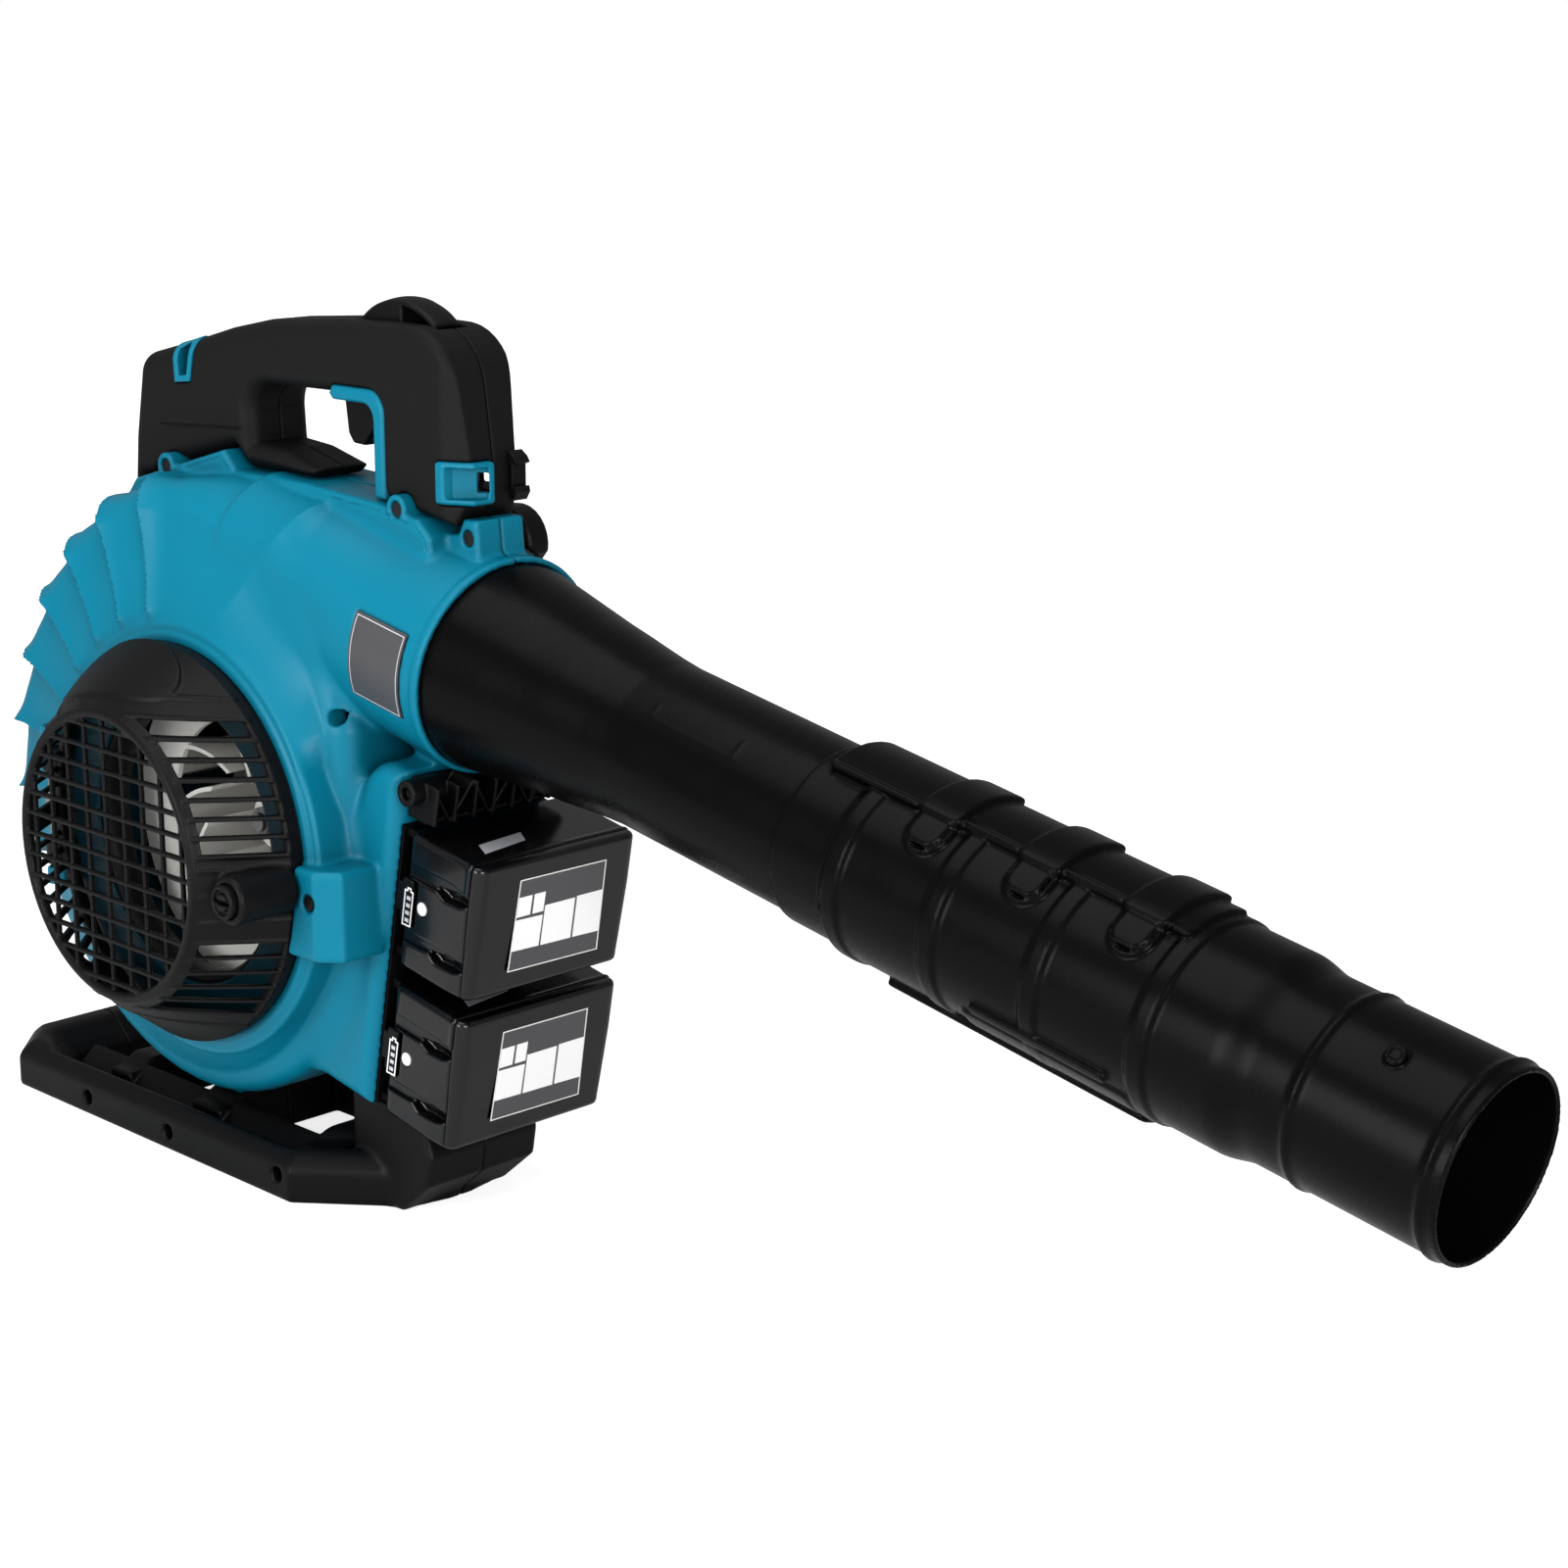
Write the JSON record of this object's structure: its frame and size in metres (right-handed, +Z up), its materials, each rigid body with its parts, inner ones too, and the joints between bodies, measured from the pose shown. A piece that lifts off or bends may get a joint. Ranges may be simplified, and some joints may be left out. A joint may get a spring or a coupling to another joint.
{
  "type": "hand-held cordless leaf blower",
  "caption": "Hand-held leaf blower with side air intake, top handle, two slide-in battery packs, base loop and a length-adjustable outlet tube.",
  "frame": {"origin": "on the ground under the fan axis, in the mid-plane of the housing", "axes": "+X towards the end of the outlet tube, +Y to the machine's left away from the air intake, +Z up"},
  "size_m": [0.994, 0.2097, 0.483],
  "materials": {
    "teal_plastic": "satin, fine grain",
    "black_plastic": "satin, fine grain",
    "gloss_black": "gloss",
    "pale_plastic": "satin",
    "steel": "zinc plated",
    "core_steel": "laminated",
    "copper": "enamelled wire",
    "contact_brass": "bright",
    "lead_red": "satin",
    "lead_black": "satin",
    "board_green": "satin",
    "cell_sleeve": "satin"
  },
  "bodies": {
    "housing": {"housing_right": "teal_plastic", "housing_left": "teal_plastic", "inlet_ring": "black_plastic", "rating_plate": "black_plastic", "stator": "core_steel", "windings": "copper", "motor_plate": "black_plastic", "motor_plate_screws": "steel", "bearings": "steel", "motor_leads": "lead_red", "control_board": "board_green", "cover_hinge_pin": "steel", "cover_hinge_spring": "steel", "handle_right": "black_plastic", "handle_left": "black_plastic", "strap_eye": "teal_plastic", "guard_lip": "teal_plastic", "strap_anchor": "teal_plastic", "strap_hook": "black_plastic", "side_hanger": "black_plastic", "trigger_pin": "steel", "trigger_spring": "steel", "trigger_switch": "black_plastic", "switch_lead": "lead_black", "speed_lever_pin": "steel", "housing_screws": "steel", "handle_screws": "steel", "base_right": "black_plastic", "base_left": "black_plastic", "base_screws": "steel", "pack_holder": "black_plastic", "holder_screws": "steel", "terminals": "contact_brass", "collar_bracket": "black_plastic"},
    "fan_rotor": {"fan": "pale_plastic", "fan_nut": "steel", "motor_shaft": "steel", "rotor": "core_steel"},
    "intake_cover": {"intake_cover": "black_plastic"},
    "cover_latch": {"cover_latch": "black_plastic"},
    "trigger": {"trigger": "black_plastic"},
    "speed_lever": {"speed_lever": "black_plastic"},
    "rear_tube": {"rear_tube": "black_plastic"},
    "front_tube": {"front_tube": "black_plastic"},
    "pack_upper": {"pack_upper_case": "gloss_black", "pack_upper_cover": "gloss_black", "pack_upper_cells": "cell_sleeve"},
    "pack_upper_release": {"pack_upper_release": "black_plastic"},
    "pack_upper_gauge_button": {"pack_upper_gauge_button": "pale_plastic"},
    "pack_lower": {"pack_lower_case": "gloss_black", "pack_lower_cover": "gloss_black", "pack_lower_cells": "cell_sleeve"},
    "pack_lower_release": {"pack_lower_release": "black_plastic"},
    "pack_lower_gauge_button": {"pack_lower_gauge_button": "pale_plastic"}
  },
  "joints": [
    {"name": "fan_spin", "type": "hinge", "parent": "housing", "child": "fan_rotor", "pos_m": [0, 0, 0.1883], "axis": [0, 1, 0], "continuous": true},
    {"name": "trigger_pull", "type": "hinge", "parent": "housing", "child": "trigger", "pos_m": [0.097, 0, 0.441], "axis": [0, 1, 0], "range_deg": [0, 10], "deforming": ["trigger_spring"]},
    {"name": "speed_lever_turn", "type": "hinge", "parent": "housing", "child": "speed_lever", "pos_m": [0.113, 0, 0.437], "axis": [0, 1, 0], "range_deg": [0, 30]},
    {"name": "cover_open", "type": "hinge", "parent": "housing", "child": "intake_cover", "pos_m": [-0.116, -0.082, 0.1883], "axis": [0, 0, -1], "range_deg": [0, 100]},
    {"name": "latch_turn", "type": "hinge", "parent": "intake_cover", "child": "cover_latch", "pos_m": [0.104, -0.1, 0.184], "axis": [0, 1, 0], "range_deg": [0, 90]},
    {"name": "rear_tube_twist", "type": "hinge", "parent": "housing", "child": "rear_tube", "pos_m": [0.02685, 0, 0.32906], "axis": [0.9823, 0, -0.1874], "range_deg": [0, 32]},
    {"name": "front_tube_slide", "type": "slide", "parent": "rear_tube", "child": "front_tube", "axis": [0.9823, 0, -0.1874], "range_m": [-0.116, 0]},
    {"name": "pack_upper_slide", "type": "slide", "parent": "housing", "child": "pack_upper", "axis": [0, -1, 0], "range_m": [0, 0.1]},
    {"name": "pack_upper_release_press", "type": "slide", "parent": "pack_upper", "child": "pack_upper_release", "axis": [0.9823, 0, -0.1874], "range_m": [0, 0.003]},
    {"name": "pack_upper_gauge_press", "type": "slide", "parent": "pack_upper", "child": "pack_upper_gauge_button", "axis": [0, 1, 0], "range_m": [0, 0.0008]},
    {"name": "pack_lower_slide", "type": "slide", "parent": "housing", "child": "pack_lower", "axis": [0, -1, 0], "range_m": [0, 0.1]},
    {"name": "pack_lower_release_press", "type": "slide", "parent": "pack_lower", "child": "pack_lower_release", "axis": [0.9823, 0, -0.1874], "range_m": [0, 0.003]},
    {"name": "pack_lower_gauge_press", "type": "slide", "parent": "pack_lower", "child": "pack_lower_gauge_button", "axis": [0, 1, 0], "range_m": [0, 0.0008]}
  ]
}
